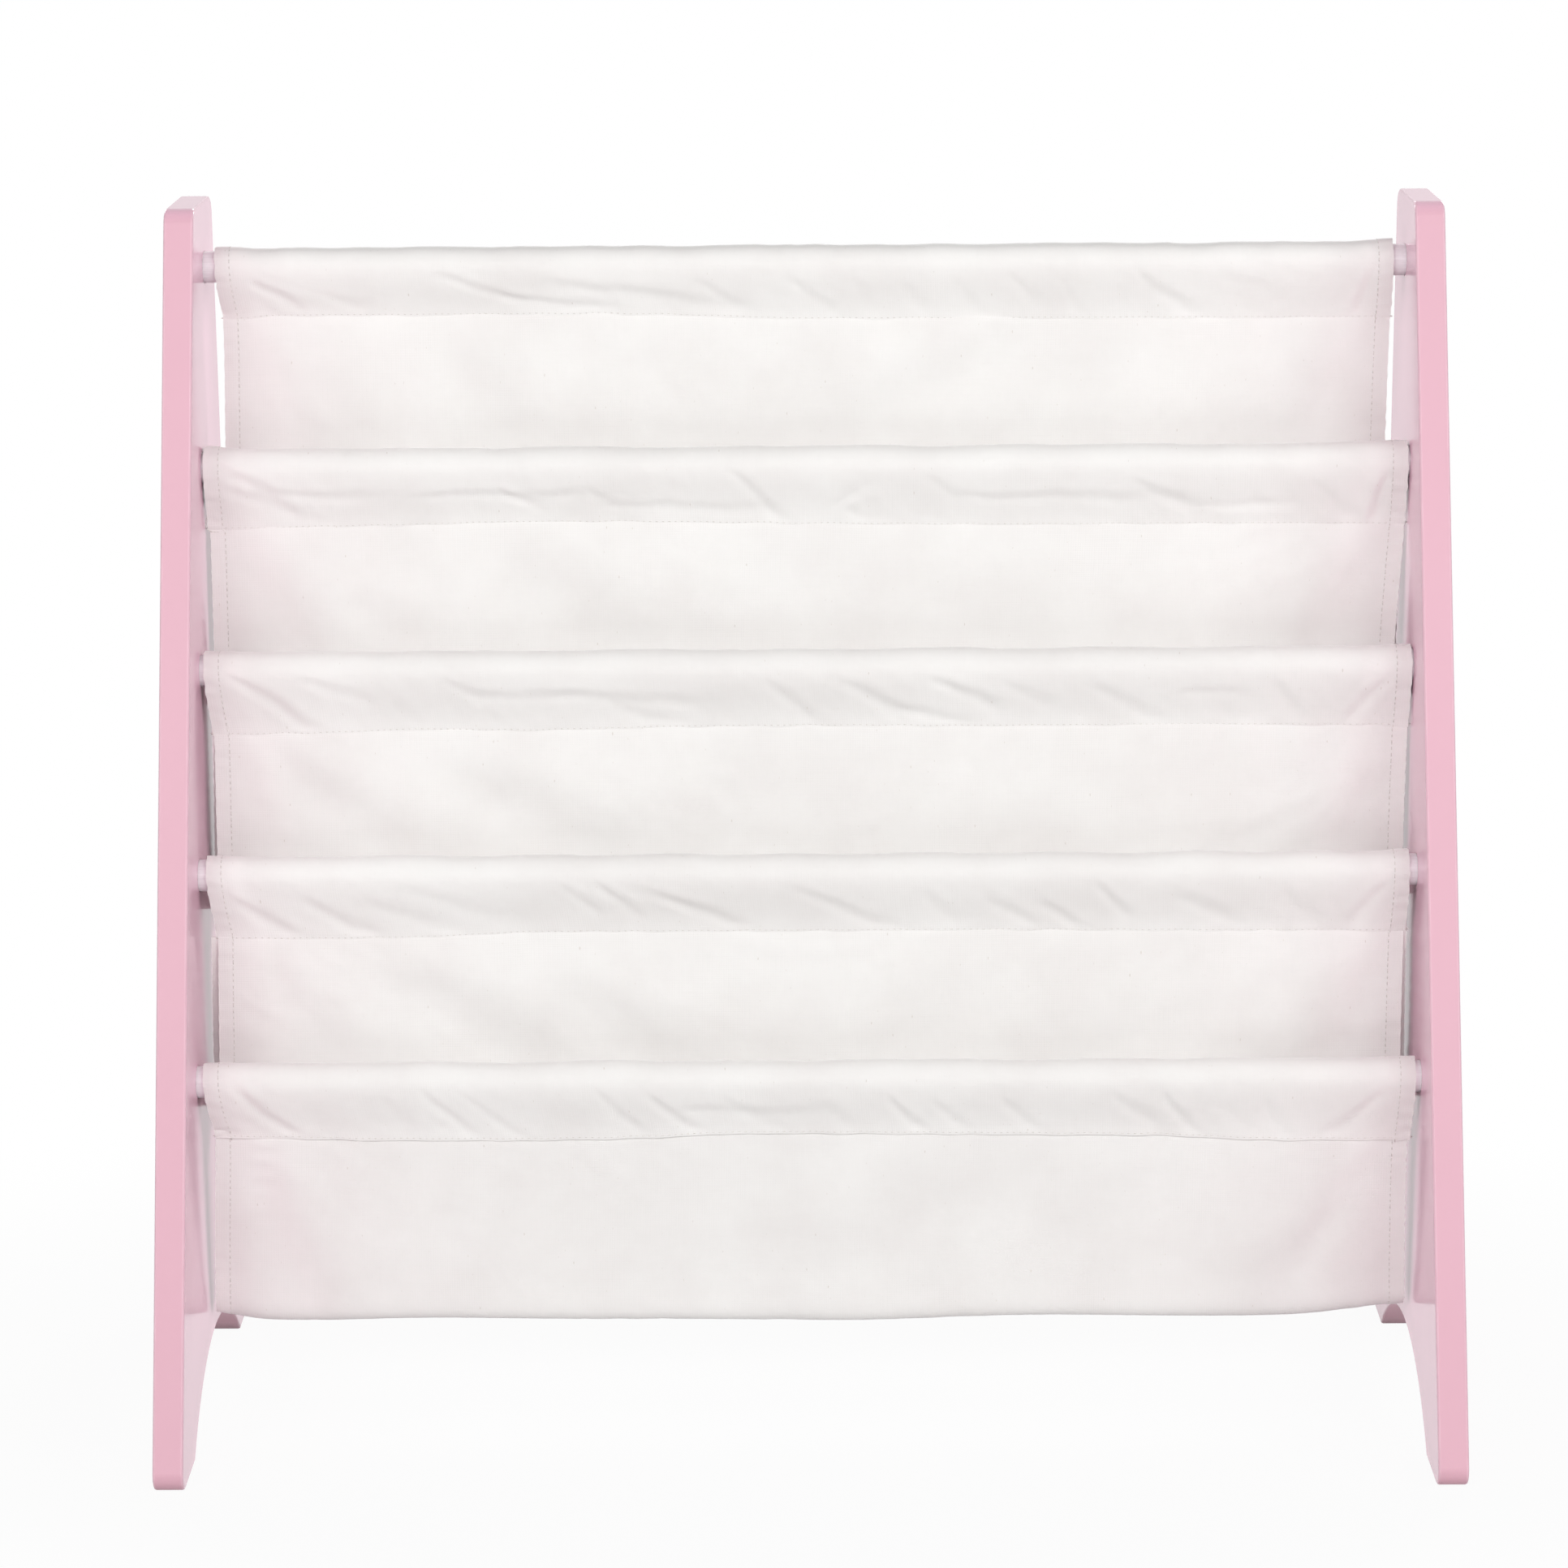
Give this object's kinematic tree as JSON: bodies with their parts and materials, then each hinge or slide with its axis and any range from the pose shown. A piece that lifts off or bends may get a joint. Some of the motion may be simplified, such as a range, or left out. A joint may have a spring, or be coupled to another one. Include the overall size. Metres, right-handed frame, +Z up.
{
  "type": "sling bookshelf",
  "caption": "Low children's bookshelf: painted side panels leaning back, joined by round rods that carry a white canvas sling hanging in stepped book pockets.",
  "frame": {"origin": "on the floor, in the middle of the width and of the depth", "axes": "+X to the viewer's right along the rods, -Y towards the viewer, +Z up"},
  "size_m": [0.64, 0.28, 0.6],
  "materials": {
    "pink_paint": "satin pink paint on medium-density fibreboard",
    "white_paint": "satin white paint on turned wooden dowel",
    "canvas": "plain-woven cotton canvas, off-white, unprinted",
    "zinc_plate": "bright zinc-plated steel"
  },
  "bodies": {
    "root": {"side_panel_left": "pink_paint", "side_panel_right": "pink_paint", "rod_1": "white_paint", "rod_2": "white_paint", "rod_3": "white_paint", "rod_4": "white_paint", "rod_5": "white_paint", "screw_left_1": "zinc_plate", "screw_left_2": "zinc_plate", "screw_left_3": "zinc_plate", "screw_left_4": "zinc_plate", "screw_left_5": "zinc_plate", "screw_right_1": "zinc_plate", "screw_right_2": "zinc_plate", "screw_right_3": "zinc_plate", "screw_right_4": "zinc_plate", "screw_right_5": "zinc_plate", "casing_1": "canvas", "casing_2": "canvas", "casing_3": "canvas", "casing_4": "canvas", "casing_5": "canvas", "pocket_1": "canvas", "pocket_2": "canvas", "pocket_3": "canvas", "pocket_4": "canvas"}
  },
  "joints": []
}
